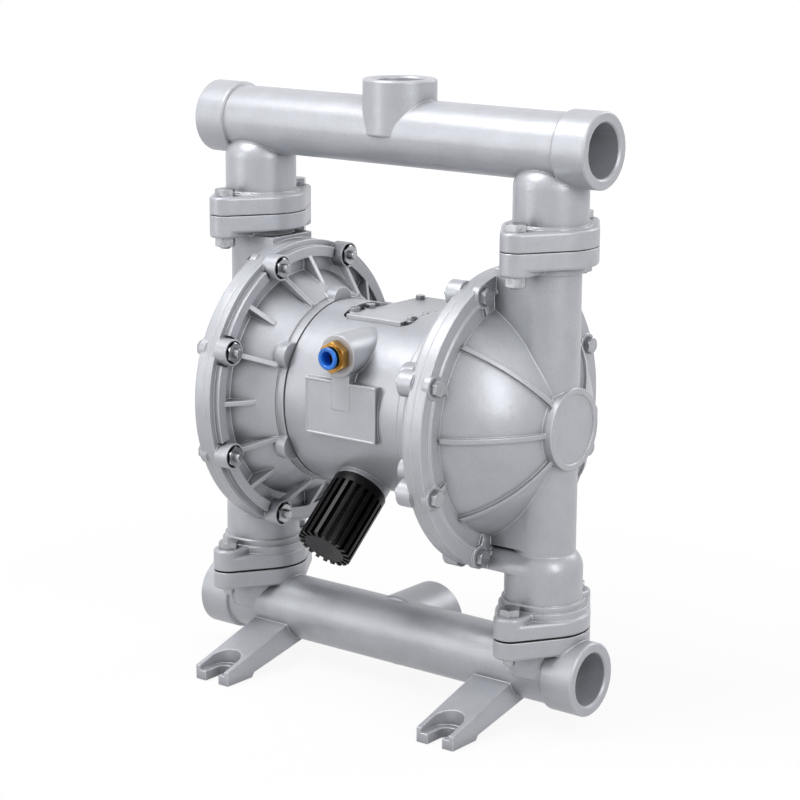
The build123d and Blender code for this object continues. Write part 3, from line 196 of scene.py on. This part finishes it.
finishes = {
    "cast_aluminium": casting("casting", 1.6 * MM),
    "steel": turned_metal("plated_steel", STEEL_COLOUR, 0.26, 0.5 * MM),
    "bright_steel": turned_metal("ground_steel", (0.7, 0.7, 0.72), 0.18, 0.3 * MM),
    "brass": turned_metal("brass", BRASS_COLOUR, 0.20, 0.5 * MM),
    "bronze": turned_metal("bronze", (0.55, 0.38, 0.2), 0.35, 0.5 * MM),
    "blue_plastic": moulded("blue_plastic", BLUE_COLOUR, 0.28),
    "black_plastic": moulded("black_plastic", BLACK_COLOUR, 0.32, specular=0.2),
    "grey_plastic": moulded("sintered_plastic", (0.05, 0.05, 0.05), 0.8, 0.2),
    "white_plastic": moulded("white_plastic", (0.75, 0.75, 0.72), 0.35),
    "black_rubber": moulded("black_rubber", (0.02, 0.02, 0.02), 0.6),
}
for subpart in frame["record"]["subparts"]:
    piece = nodes[subpart["node"]]
    piece.data.materials.clear()
    piece.data.materials.append(finishes[subpart["material_slot"]])

# ---------------------------------------------------------------- camera
turn, tilt, roll = CAMERA_AZIMUTH, CAMERA_ELEVATION, CAMERA_ROLL
back = Vector((sin(turn) * cos(tilt), -cos(turn) * cos(tilt), sin(tilt)))
level_right = Vector((cos(turn), sin(turn), 0))
level_up = back.cross(level_right)
right = level_right * cos(roll) + level_up * sin(roll)
up = level_up * cos(roll) - level_right * sin(roll)
camera_data = bpy.data.cameras.new("camera")
camera_data.lens = CAMERA_LENS
camera_data.sensor_width = SENSOR
camera_data.clip_end = CAMERA_REACH
camera = bpy.data.objects.new("camera", camera_data)
bpy.context.scene.collection.objects.link(camera)
camera.matrix_world = Matrix(
    [[right[k], up[k], back[k], CAMERA_AT[k]] for k in range(3)] + [[0, 0, 0, 1]]
)
bpy.context.scene.camera = camera

# ---------------------------------------------------------------- studio


def lamp(name, position, width, height, power):
    """Soft box at a position, facing the object."""
    data = bpy.data.lights.new(name, "AREA")
    data.shape = "RECTANGLE"
    data.size, data.size_y, data.energy = width, height, power
    box = bpy.data.objects.new(name, data)
    bpy.context.scene.collection.objects.link(box)
    box.location = position
    box.rotation_euler = (Vector(LAMP_TARGET) - Vector(position)).to_track_quat("-Z", "Y").to_euler()


for settings in LAMPS:
    lamp(*settings)


def backdrop_rays(tree):
    """1 for the rays that show the plain white background, and 0 for the rays that light the object."""
    path = tree.nodes.new("ShaderNodeLightPath")
    seen = path.outputs["Is Camera Ray"]
    for ray in ("Is Glossy Ray", "Is Transmission Ray"):
        either = tree.nodes.new("ShaderNodeMath")
        either.operation = "MAXIMUM"
        tree.links.new(seen, either.inputs[0])
        tree.links.new(path.outputs[ray], either.inputs[1])
        seen = either.outputs[0]
    return seen


def map_range(tree, value, start, end):
    """Number that follows a value: start and end are pairs of value and number."""
    node = tree.nodes.new("ShaderNodeMapRange")
    for socket, number in zip(("From Min", "To Min", "From Max", "To Max"), (*start, *end)):
        node.inputs[socket].default_value = number
    tree.links.new(value, node.inputs["Value"])
    return node.outputs["Result"]


world = bpy.data.worlds.new("studio")
world.use_nodes = True
bpy.context.scene.world = world
tree = world.node_tree
background = tree.nodes["Background"]
direction = tree.nodes.new("ShaderNodeTexCoord")
split = tree.nodes.new("ShaderNodeSeparateXYZ")
tree.links.new(direction.outputs["Generated"], split.inputs[0])
strength = tree.nodes.new("ShaderNodeMix")
tree.links.new(backdrop_rays(tree), strength.inputs["Factor"])
sky = map_range(tree, split.outputs["Z"], (SKY_LOW_Z, SKY_LOW), (SKY_HIGH_Z, SKY_HIGH))
tree.links.new(sky, strength.inputs["A"])
strength.inputs["B"].default_value = BACKDROP_STRENGTH
tree.links.new(strength.outputs["Result"], background.inputs["Strength"])
background.inputs["Color"].default_value = (1, 1, 1, 1)

# Floor: plain white, with the object's shadow kept as a faint tone
floor_mesh = bpy.data.meshes.new("floor")
corners = ((-1, -1), (1, -1), (1, 1), (-1, 1))
floor_points = [(x * FLOOR_HALF, y * FLOOR_HALF, FLOOR_Z) for x, y in corners]
floor_mesh.from_pydata(floor_points, [], [(0, 1, 2, 3)])
floor = bpy.data.objects.new("floor", floor_mesh)
bpy.context.scene.collection.objects.link(floor)
floor_look = bpy.data.materials.new("floor")
floor_look.use_nodes = True
floor_tree = floor_look.node_tree
paint = floor_tree.nodes["Principled BSDF"]
paint.inputs["Base Color"].default_value = (FLOOR_GREY, FLOOR_GREY, FLOOR_GREY, 1)
paint.inputs["Roughness"].default_value = FLOOR_ROUGHNESS
glow = floor_tree.nodes.new("ShaderNodeEmission")
place = floor_tree.nodes.new("ShaderNodeTexCoord")
from_middle = floor_tree.nodes.new("ShaderNodeVectorMath")
from_middle.operation = "LENGTH"
floor_tree.links.new(place.outputs["Object"], from_middle.inputs[0])
near, far = (GLOW_NEAR_R, GLOW_NEAR), (GLOW_FAR_R, GLOW_FAR)
brightness = map_range(floor_tree, from_middle.outputs["Value"], near, far)
floor_tree.links.new(brightness, glow.inputs["Strength"])
share = floor_tree.nodes.new("ShaderNodeMath")
share.operation = "MULTIPLY"
share.inputs[1].default_value = GLOW_SHARE
blend = floor_tree.nodes.new("ShaderNodeMixShader")
floor_tree.links.new(backdrop_rays(floor_tree), share.inputs[0])
floor_tree.links.new(share.outputs[0], blend.inputs[0])
floor_tree.links.new(paint.outputs[0], blend.inputs[1])
floor_tree.links.new(glow.outputs[0], blend.inputs[2])
floor_tree.links.new(blend.outputs[0], floor_tree.nodes["Material Output"].inputs["Surface"])
floor.data.materials.append(floor_look)

bpy.context.scene.view_settings.view_transform = "Standard"
